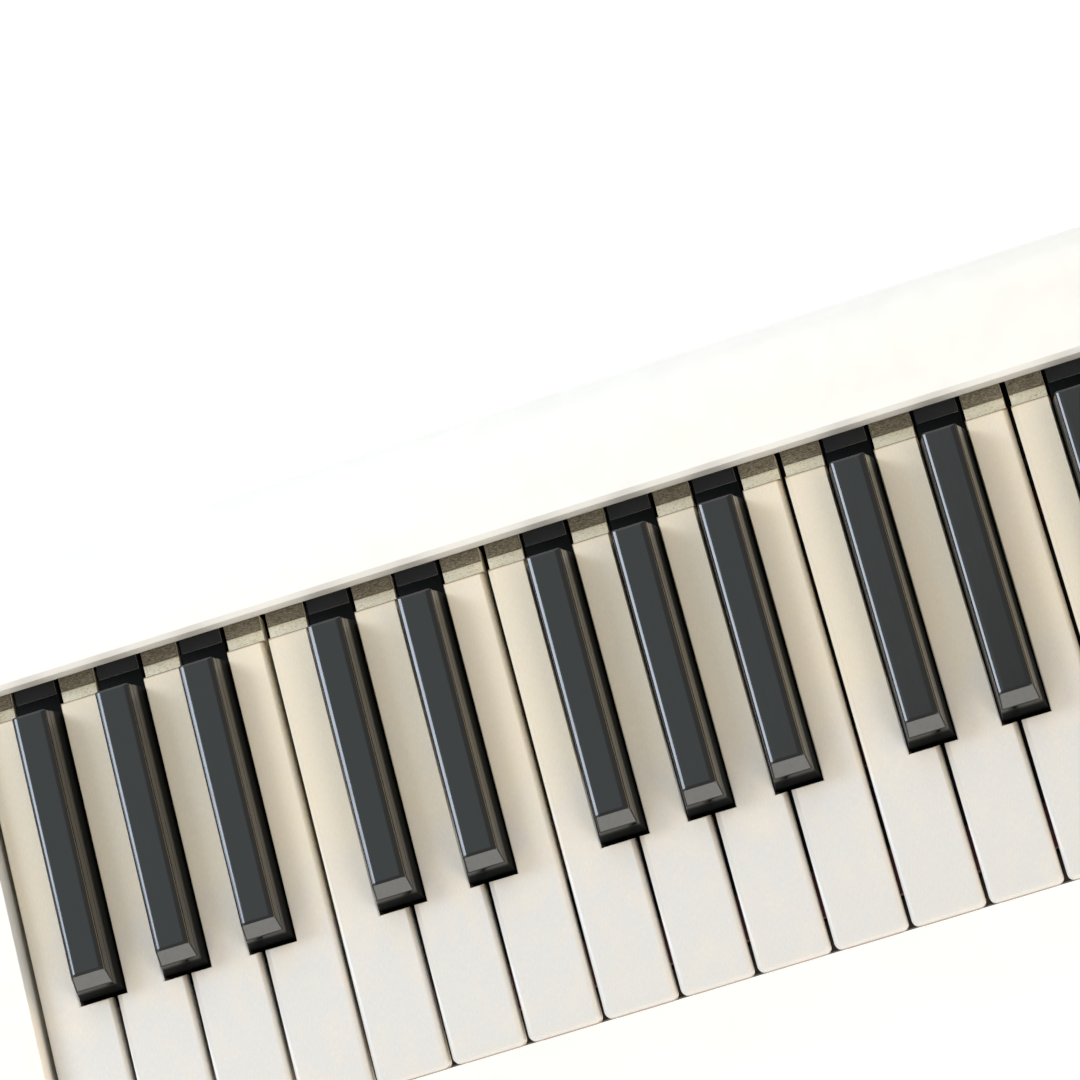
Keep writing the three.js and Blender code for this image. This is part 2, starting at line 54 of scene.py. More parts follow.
# ---------------------------------------------------------------------------
# Camera, floor and lights.
# A long lens looks down on the bass and middle keys from the player's side. The melodica lies on a white
# light table. Broad banks light it from the back and from both front corners, with a cool window at the left
# and a low warm strip at the right.
# ---------------------------------------------------------------------------

scene = bpy.context.scene
scene.view_settings.view_transform = "Standard"
scene.view_settings.look = "None"


def turned_to(direction, up):
    """The rotation that points an object's -Z along direction, with its Y towards up."""
    back = -Vector(direction).normalized()
    right = Vector(up).cross(back).normalized()
    return Matrix((right, back.cross(right), back)).transposed().to_4x4()


c4_low, c4_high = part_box("key_C4")
HALF_GAP = 0.5 * mm
key_corner = Vector((c4_low.x - HALF_GAP, c4_low.y, c4_high.z))
FROM_KEY_CORNER = Vector((0.23775, -0.27803, 1.20468))
SIGHT_LINE = (-0.12651, 0.31464, -0.94074)
PICTURE_UP = (0.29687, 0.91691, 0.26674)

lens = bpy.data.cameras.new("camera")
lens.sensor_width = 36.0
lens.lens = 166.6
lens.clip_end = 10.0
camera = bpy.data.objects.new("camera", lens)
scene.collection.objects.link(camera)
camera.matrix_world = turned_to(SIGHT_LINE, PICTURE_UP)
camera.location = key_corner + FROM_KEY_CORNER
scene.camera = camera


def srgb(code):
    """An sRGB hex colour as the linear values that shaders take."""
    steps = [int(code[i:i + 2], 16) / 255 for i in (0, 2, 4)]
    return [s / 12.92 if s <= 0.04045 else ((s + 0.055) / 1.055) ** 2.4 for s in steps] + [1.0]


def add(tree, kind, inputs=(), **settings):
    """Adds one node. inputs gives sockets a value or another node's output, settings are the node's own."""
    made = tree.nodes.new(kind)
    for name, value in settings.items():
        setattr(made, name, value)
    for socket, value in dict(inputs).items():
        if isinstance(value, bpy.types.NodeSocket):
            tree.links.new(value, made.inputs[socket])
        else:
            made.inputs[socket].default_value = value
    return made


def new_material(name):
    """An empty material with its output, and the tree to fill."""
    material = bpy.data.materials.new(name)
    material.use_nodes = True
    material.node_tree.nodes.clear()
    return material, material.node_tree


def show(tree, shader):
    """Sends a shader to the material's output."""
    add(tree, "ShaderNodeOutputMaterial", {"Surface": shader.outputs[0]})


def place(tree):
    """Object coordinates in millimetres."""
    where = add(tree, "ShaderNodeTexCoord")
    scaled = add(tree, "ShaderNodeVectorMath",
                 {0: where.outputs["Object"], "Scale": 1 / mm}, operation="SCALE")
    return scaled.outputs[0]


def stretch(tree, vector, x, y, z):
    """Coordinates with their scale set along each axis."""
    return add(tree, "ShaderNodeMapping", {"Vector": vector, "Scale": (x, y, z)}).outputs[0]


def ramp(tree, value, *stops):
    """Colours by value: each stop is (position, hex)."""
    made = add(tree, "ShaderNodeValToRGB", {"Fac": value})
    while len(made.color_ramp.elements) < len(stops):
        made.color_ramp.elements.new(0.5)
    for element, (at, code) in zip(made.color_ramp.elements, stops):
        element.position = at
        element.color = srgb(code)
    return made.outputs[0]


def span(tree, value, low, high, start, end):
    """A value carried from one range to another."""
    made = add(tree, "ShaderNodeMapRange",
               {"Value": value, "From Min": start, "From Max": end, "To Min": low, "To Max": high})
    return made.outputs[0]


def bump(tree, height, depth_mm, strength):
    """A bump of a real depth."""
    made = add(tree, "ShaderNodeBump",
               {"Height": height, "Distance": depth_mm * mm, "Strength": strength})
    return made.outputs[0]


# Light table: opal sheet lit from below, even and white, with a faint mottle. It shows no hard shadow.
card, tree = new_material("white_light_table")
mottle = add(tree, "ShaderNodeTexNoise",
             {"Vector": stretch(tree, place(tree), 0.01, 0.01, 0.01), "Detail": 3.0})
show(tree, add(tree, "ShaderNodeBsdfPrincipled", {
    "Base Color": ramp(tree, mottle.outputs[0], (0.3, "B3B3B2"), (0.7, "BABABA")),
    "Roughness": 0.9,
    "Specular IOR Level": 0.1,
    "Emission Color": srgb("FFFFFF"),
    "Emission Strength": 0.62}))

REACH = 6.0
UNDER_CASE = -0.2 * mm
floor_mesh = bpy.data.meshes.new("floor")
floor_mesh.from_pydata([(-REACH, -REACH, 0), (REACH, -REACH, 0), (REACH, REACH, 0), (-REACH, REACH, 0)],
                       [], [(0, 1, 2, 3)])
floor = bpy.data.objects.new("floor", floor_mesh)
floor_mesh.materials.append(card)
floor.location.z = UNDER_CASE
scene.collection.objects.link(floor)

world = bpy.data.worlds.new("studio")
scene.world = world
world.use_nodes = True
sky = world.node_tree.nodes["Background"]
sky.inputs["Color"].default_value = srgb("FAF8F5")
sky.inputs["Strength"].default_value = 0.6


def panel(name, at, size, power, code):
    """A soft rectangular light that faces the keyboard."""
    light = bpy.data.lights.new(name, "AREA")
    light.shape = "RECTANGLE"
    light.size, light.size_y = size
    light.energy = power
    light.color = srgb(code)[:3]
    made = bpy.data.objects.new(name, light)
    made.matrix_world = turned_to(KEYBOARD - Vector(at), (0, 0, 1))
    made.location = at
    scene.collection.objects.link(made)


KEYBOARD = Vector((0.05, 0, 0.04))
panel("window", (-1.35, 0.66, 1.3), (0.6, 0.75), 18.5, "E2EEFF")
panel("back_bank", (-0.4, 2.0, 1.5), (3.0, 1.4), 19, "F4FAFC")
panel("front_left_bank", (-1.3, -1.3, 1.6), (1.0, 1.0), 8, "FFFDFA")
panel("front_right_bank", (1.3, -1.2, 1.6), (1.0, 1.0), 17, "FFF7EC")
panel("ceiling", (-0.6, 0.67, 2.0), (2.0, 1.0), 4.0, "DCEEF0")
panel("front_strip", (0.0, -2.2, 0.35), (2.4, 0.6), 16, "FFFDF6")
panel("right_strip", (2.0, -0.1, 0.5), (1.6, 0.6), 16, "FFD794")

# ---------------------------------------------------------------------------
# Case.
# Two shells moulded in ABS and screwed together from below: a grey tray with a tapered front and a palm recess,
# and an off-white cover that carries both end cheeks. Every edge has the small round of a mould.
# ---------------------------------------------------------------------------

FLAT = math.radians(1.0)


def cad_copy(node):
    """A CAD node's mesh as a bmesh, with its corners merged and its flat faces made whole."""
    copy = bmesh.new()
    copy.from_mesh(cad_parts[node].data)
    bmesh.ops.remove_doubles(copy, verts=copy.verts, dist=0.002 * mm)
    bmesh.ops.dissolve_limit(copy, angle_limit=FLAT, verts=copy.verts, edges=copy.edges)
    return copy


def bake(piece):
    """Puts a piece's modifiers into its mesh."""
    bpy.context.view_layer.update()
    graph = bpy.context.evaluated_depsgraph_get()
    final = bpy.data.meshes.new_from_object(piece.evaluated_get(graph), depsgraph=graph)
    piece.modifiers.clear()
    piece.data = final


def make_piece(name, source, material, width_mm=0.0, segments=3, angle=35.0, weights=False):
    """An object from a bmesh, with its edges rounded: those sharper than angle, or by their bevel weights."""
    bmesh.ops.recalc_face_normals(source, faces=source.faces)
    mesh = bpy.data.meshes.new(name)
    source.to_mesh(mesh)
    source.free()
    mesh.materials.append(material)
    piece = bpy.data.objects.new(name, mesh)
    scene.collection.objects.link(piece)
    if width_mm:
        rounding = piece.modifiers.new("rounding", "BEVEL")
        rounding.width = width_mm * mm
        rounding.segments = segments
        rounding.limit_method = "WEIGHT" if weights else "ANGLE"
        rounding.angle_limit = math.radians(angle)
        rounding.harden_normals = True
        for face in mesh.polygons:
            face.use_smooth = True
        bake(piece)
    return piece


def spark_textured_abs(name, low_tone, high_tone):
    """Moulded ABS with a fine dull grain, slightly glossier in clouds where hands touch it."""
    material, tree = new_material(name)
    at = place(tree)
    cloud = add(tree, "ShaderNodeTexNoise", {"Vector": stretch(tree, at, 0.02, 0.02, 0.02), "Detail": 4.0})
    grain = add(tree, "ShaderNodeTexNoise", {"Vector": stretch(tree, at, 2.2, 2.2, 2.2), "Detail": 2.0})
    show(tree, add(tree, "ShaderNodeBsdfPrincipled", {
        "Base Color": ramp(tree, cloud.outputs[0], (0.3, low_tone), (0.7, high_tone)),
        "Roughness": span(tree, cloud.outputs[0], 0.38, 0.52, 0.3, 0.7),
        "Normal": bump(tree, grain.outputs[0], 0.05, 0.5),
        "IOR": 1.5}))
    return material


# Off-white ABS for the cover and the cells, stone-grey ABS for the tray: both dull, with a fine even grain.
cover_abs = spark_textured_abs("spark_textured_ivory_ABS", "DFDEDA", "E4E3DF")
tray_abs = spark_textured_abs("spark_textured_stone_ABS", "A29E93", "ABA79C")

for node, width, material in (("lower_case", 0.9, tray_abs), ("upper_case", 0.8, cover_abs)):
    shell = make_piece(node + "_shell", cad_copy(node), material, width, 3, 25.0)
    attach(shell, "case")
    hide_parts(node)

# ---------------------------------------------------------------------------
# Case screws.
# Six zinc-plated self-tapping screws with pan heads and a cross recess, sunk in counterbores from below.
# ---------------------------------------------------------------------------

# Zinc-plated steel: bright grey with a faint turned grain and slightly duller patches.
zinc, tree = new_material("zinc_plated_steel")
at = place(tree)
wear = add(tree, "ShaderNodeTexNoise", {"Vector": at, "Scale": 0.8, "Detail": 5.0})
show(tree, add(tree, "ShaderNodeBsdfPrincipled", {
    "Base Color": ramp(tree, wear.outputs[0], (0.35, "A9ABAA"), (0.65, "C6C7C4")),
    "Roughness": span(tree, wear.outputs[0], 0.25, 0.42, 0.35, 0.65),
    "Metallic": 1.0}))

screws = [f"case_screw_{i + 1}" for i in range(6)]
screw_boxes = [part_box(name) for name in screws]
HEAD_R, HEAD_H, SHANK_R, POINT = 3.2, 1.9, 1.5, 3.0
RECESS_HALF, RECESS_WIDTH, RECESS_DEPTH = 2.0, 0.75, 1.1
ROUND = 24


def screw_mesh():
    """One screw with the crown of its head at the origin and its shank up +Z."""
    made = bmesh.new()
    rings = []
    length = (screw_boxes[0][1].z - screw_boxes[0][0].z) / mm
    profile = [(HEAD_R - 0.7, 0.0), (HEAD_R - 0.2, 0.25), (HEAD_R, 0.8), (HEAD_R, HEAD_H),
               (SHANK_R, HEAD_H), (SHANK_R, length - POINT), (0.3, length)]
    for radius, z in profile:
        rings.append([made.verts.new((radius * mm * math.cos(a), radius * mm * math.sin(a), z * mm))
                      for a in (math.tau * k / ROUND for k in range(ROUND))])
    for low, high in zip(rings, rings[1:]):
        for k in range(ROUND):
            made.faces.new((low[k], low[(k + 1) % ROUND], high[(k + 1) % ROUND], high[k]))
    made.faces.new(reversed(rings[0]))
    made.faces.new(rings[-1])
    return made


def cutter(name, source):
    """A tool for a cut, from a bmesh."""
    mesh = bpy.data.meshes.new(name)
    bmesh.ops.recalc_face_normals(source, faces=source.faces)
    source.to_mesh(mesh)
    source.free()
    made = bpy.data.objects.new(name, mesh)
    scene.collection.objects.link(made)
    return made


def block(low, high):
    """A box between two corners, in millimetres, as a bmesh."""
    made = bmesh.new()
    bmesh.ops.create_cube(made, size=1.0)
    for v in made.verts:
        for k in range(3):
            v.co[k] = (low[k] if v.co[k] < 0 else high[k]) * mm
    return made


def cut(piece, tool):
    """Cuts a tool out of a piece, and throws the tool away."""
    step = piece.modifiers.new("cut", "BOOLEAN")
    step.operation = "DIFFERENCE"
    step.object = tool
    step.solver = "EXACT"
    bake(piece)
    bpy.data.objects.remove(tool)


one_screw = make_piece("screw_pattern", screw_mesh(), zinc)
for x, y in ((RECESS_HALF, RECESS_WIDTH / 2), (RECESS_WIDTH / 2, RECESS_HALF)):
    cut(one_screw, cutter("recess", block((-x, -y, -1), (x, y, RECESS_DEPTH))))


def place_on_points():
    """A geometry tree: one shape on each point, made longer along Y, with its material."""
    tree = bpy.data.node_groups.new("place_on_points", "GeometryNodeTree")
    sockets = tree.interface
    sockets.new_socket("Geometry", in_out="INPUT", socket_type="NodeSocketGeometry")
    sockets.new_socket("Shape", in_out="INPUT", socket_type="NodeSocketObject")
    sockets.new_socket("Length", in_out="INPUT", socket_type="NodeSocketFloat").default_value = 1.0
    sockets.new_socket("Material", in_out="INPUT", socket_type="NodeSocketMaterial")
    sockets.new_socket("Geometry", in_out="OUTPUT", socket_type="NodeSocketGeometry")
    given = add(tree, "NodeGroupInput").outputs
    shape = add(tree, "GeometryNodeObjectInfo", {"Object": given["Shape"]})
    scale = add(tree, "ShaderNodeCombineXYZ", {"X": 1.0, "Y": given["Length"], "Z": 1.0})
    placed = add(tree, "GeometryNodeInstanceOnPoints", {
        "Points": given["Geometry"], "Instance": shape.outputs["Geometry"], "Scale": scale.outputs[0]})
    solid = add(tree, "GeometryNodeRealizeInstances", {"Geometry": placed.outputs[0]})
    painted = add(tree, "GeometryNodeSetMaterial",
                  {"Geometry": solid.outputs[0], "Material": given["Material"]})
    add(tree, "NodeGroupOutput", {"Geometry": painted.outputs[0]})
    return tree


repeat_tree = place_on_points()


def repeated(name, shape, points, material, length=1.0):
    """One plain mesh of a shape repeated at points, and made length times as long along Y."""
    mesh = bpy.data.meshes.new(name)
    mesh.from_pydata(points, [], [])
    piece = bpy.data.objects.new(name, mesh)
    scene.collection.objects.link(piece)
    step = piece.modifiers.new("repeat", "NODES")
    step.node_group = repeat_tree
    sockets = {s.name: s.identifier for s in repeat_tree.interface.items_tree if s.in_out == "INPUT"}
    step[sockets["Shape"]] = shape
    step[sockets["Length"]] = length
    step[sockets["Material"]] = material
    bake(piece)
    return piece


screw_points = [((low.x + high.x) / 2, (low.y + high.y) / 2, low.z) for low, high in screw_boxes]
screw_set = repeated("case_screws", one_screw, screw_points, zinc)
bpy.data.objects.remove(one_screw)
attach(screw_set, "case")
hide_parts(*screws)

# ---------------------------------------------------------------------------
# Key bed, pivot rail and wind chest.
# A bed of dark filled nylon, with two red felts glued on to stop the keys, and a rail whose lugs hold the pivot
# rod. Behind lie the bronze spring comb and the air chest, with its rubber gasket, valve plate and reed plates.
# ---------------------------------------------------------------------------

# Filled nylon: near-black brown, dull, with short streaks from the flow in the mould.
nylon, tree = new_material("moulded_dark_nylon")
at = place(tree)
flow = add(tree, "ShaderNodeTexNoise", {"Vector": stretch(tree, at, 0.05, 0.6, 0.6), "Detail": 5.0})
show(tree, add(tree, "ShaderNodeBsdfPrincipled", {
    "Base Color": ramp(tree, flow.outputs[0], (0.3, "190F0C"), (0.7, "2A1A14")),
    "Roughness": span(tree, flow.outputs[0], 0.5, 0.7, 0.3, 0.7),
    "Normal": bump(tree, flow.outputs[0], 0.05, 0.4)}))

# Wool felt: deep red, no gloss, with a tangle of short fibres and a soft sheen.
red_felt, tree = new_material("red_wool_felt")
at = place(tree)
fibre = add(tree, "ShaderNodeTexNoise",
            {"Vector": stretch(tree, at, 1.6, 1.6, 1.6), "Detail": 6.0, "Distortion": 1.5})
show(tree, add(tree, "ShaderNodeBsdfPrincipled", {
    "Base Color": ramp(tree, fibre.outputs[0], (0.3, "4E1216"), (0.7, "7C262B")),
    "Roughness": 0.95,
    "Sheen Weight": 0.4,
    "Normal": bump(tree, fibre.outputs[0], 0.25, 0.8)}))

# Spring bronze, darkened in air: brown-red with a dull oxide bloom.
dark_bronze, tree = new_material("oxidised_spring_bronze")
at = place(tree)
oxide = add(tree, "ShaderNodeTexNoise", {"Vector": stretch(tree, at, 0.3, 0.3, 0.3), "Detail": 5.0})
show(tree, add(tree, "ShaderNodeBsdfPrincipled", {
    "Base Color": ramp(tree, oxide.outputs[0], (0.35, "2B1610"), (0.65, "57331F")),
    "Roughness": span(tree, oxide.outputs[0], 0.55, 0.4, 0.35, 0.65),
    "Metallic": 1.0}))

# Rolled brass: warm yellow with fine rolling lines along the keyboard and a light tarnish.
brass, tree = new_material("rolled_brass")
at = place(tree)
lines = add(tree, "ShaderNodeTexNoise", {"Vector": stretch(tree, at, 0.03, 3.0, 3.0), "Detail": 4.0})
tarnish = add(tree, "ShaderNodeTexNoise", {"Vector": stretch(tree, at, 0.08, 0.08, 0.08), "Detail": 4.0})
show(tree, add(tree, "ShaderNodeBsdfPrincipled", {
    "Base Color": ramp(tree, tarnish.outputs[0], (0.35, "B58F45"), (0.65, "D0AE62")),
    "Roughness": span(tree, lines.outputs[0], 0.25, 0.45, 0.3, 0.7),
    "Normal": bump(tree, lines.outputs[0], 0.01, 0.4),
    "Metallic": 1.0}))

# Black-anodised aluminium: near-black, evenly satin, with faint brush lines. It keeps the gaps dark.
aluminium, tree = new_material("black_anodised_aluminium")
at = place(tree)
brushed = add(tree, "ShaderNodeTexNoise", {"Vector": stretch(tree, at, 0.05, 4.0, 4.0), "Detail": 3.0})
show(tree, add(tree, "ShaderNodeBsdfPrincipled", {
    "Base Color": ramp(tree, brushed.outputs[0], (0.3, "1E1C1B"), (0.7, "2C2927")),
    "Roughness": span(tree, brushed.outputs[0], 0.32, 0.45, 0.3, 0.7),
    "Metallic": 1.0}))

# Moulded rubber: dark grey, dull, with a dusty bloom in patches.
rubber, tree = new_material("moulded_rubber")
bloom = add(tree, "ShaderNodeTexNoise", {"Vector": stretch(tree, place(tree), 0.4, 0.4, 0.4), "Detail": 5.0})
show(tree, add(tree, "ShaderNodeBsdfPrincipled", {
    "Base Color": ramp(tree, bloom.outputs[0], (0.35, "1C1C1C"), (0.7, "2C2B2A")),
    "Roughness": span(tree, bloom.outputs[0], 0.7, 0.88, 0.3, 0.7)}))

# Oil-blackened steel: dark with a faint brown sheen.
black_steel, tree = new_material("oil_blackened_steel")
film = add(tree, "ShaderNodeTexNoise", {"Vector": stretch(tree, place(tree), 0.1, 1.0, 1.0), "Detail": 4.0})
show(tree, add(tree, "ShaderNodeBsdfPrincipled", {
    "Base Color": ramp(tree, film.outputs[0], (0.35, "171210"), (0.65, "2D2520")),
    "Roughness": span(tree, film.outputs[0], 0.3, 0.5, 0.35, 0.65),
    "Metallic": 1.0}))


def dress(node, material):
    """Gives a CAD node that stays in view its finish."""
    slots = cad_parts[node].data.materials
    if not slots:
        slots.append(material)
    for k in range(len(slots)):
        slots[k] = material


for node, material in {
    "key_bed": nylon, "pivot_rail": nylon, "wind_chest": nylon, "front_felt": red_felt, "middle_felt": red_felt,
    "key_spring_comb": dark_bronze, "reed_plate_low": brass, "reed_plate_high": brass, "valve_plate": aluminium,
    "key_pivot_rod": black_steel, "chest_gasket": rubber, "drain_seal": rubber, "cell_block": cover_abs,
}.items():
    dress(node, material)

# ---------------------------------------------------------------------------
# Reed rivets.
# Thirty-two reed tongues are slit free in the two brass plates, long in the bass and short in the treble. One
# round-headed brass rivet sits at the root of each.
# ---------------------------------------------------------------------------

keys = sorted((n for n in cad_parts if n.startswith("key_") and n[-1].isdigit()),
              key=lambda n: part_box(n)[0].x)
white_names = [n for n in keys if n[-2] != "s"]
black_names = [n for n in keys if n[-2] == "s"]
BLACK_CLEARANCE = 0.45 * mm


def tail_of(name):
    """The left and right sides of a white key's rear stretch, between its black neighbours."""
    low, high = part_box(name)
    left, right = low.x, high.x
    for black in black_names:
        a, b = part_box(black)
        if a.x < right < b.x + 2 * mm:
            right = a.x - BLACK_CLEARANCE
        if a.x - 2 * mm < left < b.x:
            left = b.x + BLACK_CLEARANCE
    return left, right


arms = sorted([sum(tail_of(n)) / 2 for n in white_names]
              + [(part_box(n)[0].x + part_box(n)[1].x) / 2 for n in black_names])
rivet = bmesh.new()
bmesh.ops.create_uvsphere(rivet, u_segments=12, v_segments=6, radius=1.1 * mm)
for v in rivet.verts:
    v.co.z = max(v.co.z, 0) * 0.5
bmesh.ops.remove_doubles(rivet, verts=rivet.verts, dist=0.01 * mm)
bmesh.ops.dissolve_degenerate(rivet, edges=rivet.edges, dist=0.001 * mm)
rivet_shape = make_piece("rivet_pattern", rivet, brass)
plate_low, plate_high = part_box("reed_plate_low")
rivets = repeated("reed_rivets", rivet_shape, [(x, plate_low.y + 2.6 * mm, plate_high.z) for x in arms], brass)
bpy.data.objects.remove(rivet_shape)
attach(rivets, "case")

# ---------------------------------------------------------------------------
# White keys.
# Each has a thin ivory-coloured acrylic cap glued on a cream ABS body. The body runs on behind the cap as a
# lower ledge, carries a patch of felt there, and ends in a hidden arm with a leather-faced pad.
# The grey-brown of the felt on the white keys is painted shade, for the shadow under the cover lip.
# ---------------------------------------------------------------------------

CAP = 3.0 * mm
CORNER = 1.7 * mm
EDGE = 1.5
TAIL_EDGE = 0.3
SHOULDER_GAP = 1.1 * mm
cap_top = c4_high.z
ledge_top = cap_top - CAP
cap_front = c4_low.y
cap_rear = cap_front + 121.6 * mm
black_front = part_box(black_names[0])[0].y
shoulder = black_front - SHOULDER_GAP
FELT_START = cap_rear + 3.6 * mm
FELT_END = cap_rear + 7.4 * mm
FELT = 0.6 * mm
PAD_SEAM = c4_low.z + 1.9 * mm
GLUE_FILM = 0.02 * mm

# Cast acrylic: a warm white with a little depth, cloudy at arm's length, with faint stained specks. Painted
# shade: creamier and a little lighter towards the rear for the warm shade between the black keys, and brown
# along the lower front edge and the rear edge of the cap.
ivory, tree = new_material("cast_ivory_acrylic")
at = place(tree)
parts = add(tree, "ShaderNodeSeparateXYZ", {"Vector": at})
cloud = add(tree, "ShaderNodeTexNoise", {"Vector": stretch(tree, at, 0.035, 0.02, 0.05), "Detail": 5.0})
specks = add(tree, "ShaderNodeTexNoise", {"Vector": stretch(tree, at, 0.45, 0.3, 0.45), "Detail": 2.0})
rub = add(tree, "ShaderNodeTexNoise", {"Vector": stretch(tree, at, 1.4, 0.12, 1.4), "Detail": 4.0})
# Painted shade: creamier and a little lighter from the black keys' fronts rearwards, with the cloud's random
# tone on top.
depth = add(tree, "ShaderNodeMath", {0: span(tree, parts.outputs["Y"], 0.0, 1.0, -52.0, -12.0),
                                     1: span(tree, cloud.outputs[0], -0.2, 0.2, 0.3, 0.7)}, operation="ADD")
tone = ramp(tree, depth.outputs[0], (0.0, "CAC8C4"), (0.55, "D6CDBF"), (1.0, "DCD0BA"))
stain = add(tree, "ShaderNodeMix", {
    "Factor": span(tree, specks.outputs[0], 0.0, 0.35, 0.68, 0.8), "A": tone, "B": srgb("CDBFA4")},
    data_type="RGBA")
# Painted shade: brown along the cap's lower front edge and along its rear edge, where it steps down to the
# ledge.
front_shade_mask = add(tree, "ShaderNodeMath", {
    0: span(tree, parts.outputs["Y"], 1.0, 0.0, cap_front / mm + 0.3, cap_front / mm + 0.9),
    1: span(tree, parts.outputs["Z"], 0.9, 0.0, ledge_top / mm + 0.8, ledge_top / mm + 1.4)},
    operation="MULTIPLY")
edge_shade_mask = add(tree, "ShaderNodeMath", {
    0: span(tree, parts.outputs["Y"], 0.0, 0.9, cap_rear / mm - 0.8, cap_rear / mm - 0.4),
    1: front_shade_mask.outputs[0]}, operation="MAXIMUM")
cap_edge_shaded = add(tree, "ShaderNodeMix", {
    "Factor": edge_shade_mask.outputs[0], "A": stain.outputs["Result"], "B": srgb("8C7656")}, data_type="RGBA")
show(tree, add(tree, "ShaderNodeBsdfPrincipled", {
    "Base Color": cap_edge_shaded.outputs["Result"],
    "Roughness": span(tree, rub.outputs[0], 0.2, 0.34, 0.3, 0.7),
    "Normal": bump(tree, rub.outputs[0], 0.004, 0.25),
    "IOR": 1.49,
    "Subsurface Weight": 0.12,
    "Subsurface Radius": (0.9, 0.55, 0.25),
    "Subsurface Scale": 1.2 * mm}))

# Aged ABS: yellowed cream, satin, with brown finger grime along the ledge. The brown low on the front face
# under the cap's lip is painted shade.
cream, tree = new_material("aged_cream_ABS")
at = place(tree)
parts = add(tree, "ShaderNodeSeparateXYZ", {"Vector": at})
grime = add(tree, "ShaderNodeTexNoise",
            {"Vector": stretch(tree, at, 0.35, 0.9, 0.9), "Detail": 6.0, "Distortion": 0.8})
body_tone = ramp(tree, grime.outputs[0], (0.32, "C2A982"), (0.46, "E6DEC2"), (0.7, "EDE8D4"))
# Painted shade: brown on the front face of the body, darker low down under the cap's lip.
lip_shade_mask = add(tree, "ShaderNodeMath", {
    0: span(tree, parts.outputs["Y"], 1.0, 0.0, cap_front / mm + 1.1, cap_front / mm + 2.0),
    1: span(tree, parts.outputs["Z"], 1.0, 0.0, cap_top / mm - 6.6, cap_top / mm - 5.2)},
    operation="MULTIPLY")
lip_shaded = add(tree, "ShaderNodeMix", {
    "Factor": lip_shade_mask.outputs[0], "A": body_tone, "B": srgb("7A583C")}, data_type="RGBA")
show(tree, add(tree, "ShaderNodeBsdfPrincipled", {
    "Base Color": lip_shaded.outputs["Result"],
    "Roughness": span(tree, grime.outputs[0], 0.6, 0.4, 0.3, 0.7),
    "Normal": bump(tree, grime.outputs[0], 0.04, 0.4)}))

# Pressed felt: grey-brown wool with streaks across the key and a fuzzy nap. The dark grey-brown is painted
# shade, standing in for the shadow that the cover lip casts on the key tails.
shade_toned_felt, tree = new_material("grey_brown_felt_painted_shade")
at = place(tree)
streak = add(tree, "ShaderNodeTexNoise",
             {"Vector": stretch(tree, at, 0.3, 1.5, 1.2), "Detail": 6.0, "Distortion": 0.6})
nap = add(tree, "ShaderNodeTexNoise", {"Vector": stretch(tree, at, 5.0, 5.0, 5.0), "Detail": 3.0})
show(tree, add(tree, "ShaderNodeBsdfPrincipled", {
    "Base Color": ramp(tree, streak.outputs[0], (0.36, "4A4435"), (0.5, "7C7462"), (0.62, "A39B86")),
    "Roughness": 0.95,
    "Sheen Weight": 0.25,
    "Normal": bump(tree, nap.outputs[0], 0.12, 0.7)}))

# Chamois: soft pale leather on the pad, with a suede nap.
chamois, tree = new_material("chamois_leather")
nap = add(tree, "ShaderNodeTexNoise", {"Vector": stretch(tree, place(tree), 3.0, 3.0, 3.0), "Detail": 5.0})
show(tree, add(tree, "ShaderNodeBsdfPrincipled", {
    "Base Color": ramp(tree, nap.outputs[0], (0.3, "B8935C"), (0.7, "D3B17C")),
    "Roughness": 0.9,
    "Sheen Weight": 0.3,
    "Normal": bump(tree, nap.outputs[0], 0.1, 0.6)}))


def arc(x, y, radius, start, end, steps=6):
    """Points round an arc, with its angles in quarter turns."""
    angles = [math.pi / 2 * (start + (end - start) * k / steps) for k in range(steps + 1)]
    return [(x + radius * math.cos(a), y + radius * math.sin(a)) for a in angles]


def prism(outline, low, high, weights, tail_from=1.0):
    """An upright prism with bevel weights for its top, bottom and sharp upright edges, and for the top edges
    that lie behind tail_from."""
    top_weight, bottom_weight, side_weight, tail_weight = weights
    made = bmesh.new()
    weight = made.edges.layers.float.new("bevel_weight_edge")
    rings = [[made.verts.new((x, y, z)) for x, y in outline] for z in (low, high)]
    count = len(outline)
    made.faces.new(reversed(rings[0]))
    made.faces.new(rings[1])
    for k in range(count):
        made.faces.new((rings[0][k], rings[0][(k + 1) % count], rings[1][(k + 1) % count], rings[1][k]))
    for edge in made.edges:
        a, b = edge.verts
        if a.co.z != b.co.z:
            edge[weight] = side_weight if edge.calc_face_angle(0) > math.radians(40) else 0.0
        elif a.co.z < (low + high) / 2:
            edge[weight] = bottom_weight
        else:
            edge[weight] = tail_weight if min(a.co.y, b.co.y) > tail_from - 0.01 * mm else top_weight
    return made


def sliced_at(solid, level, **choices):
    """Cuts new edges into a bmesh where it crosses a level."""
    everything = list(solid.verts) + list(solid.edges) + list(solid.faces)
    return bmesh.ops.bisect_plane(solid, geom=everything, dist=0.001 * mm, plane_co=(0, 0, level),
                                  plane_no=(0, 0, 1), **choices)


def lower_body(node):
    """The part of a key's CAD solid under the level of the ledge, closed again where it is cut."""
    made = cad_copy(node)
    sliced = sliced_at(made, ledge_top - GLUE_FILM, clear_outer=True)
    rim = [e for e in sliced["geom_cut"] if isinstance(e, bmesh.types.BMEdge)]
    bmesh.ops.triangle_fill(made, edges=rim, use_beauty=True, use_dissolve=False)
    sliced_at(made, PAD_SEAM)
    away_from_seam = [e for e in made.edges if abs(e.verts[0].co.z - PAD_SEAM) > 0.01 * mm]
    bmesh.ops.dissolve_limit(made, angle_limit=FLAT, verts=made.verts, edges=away_from_seam)
    return made


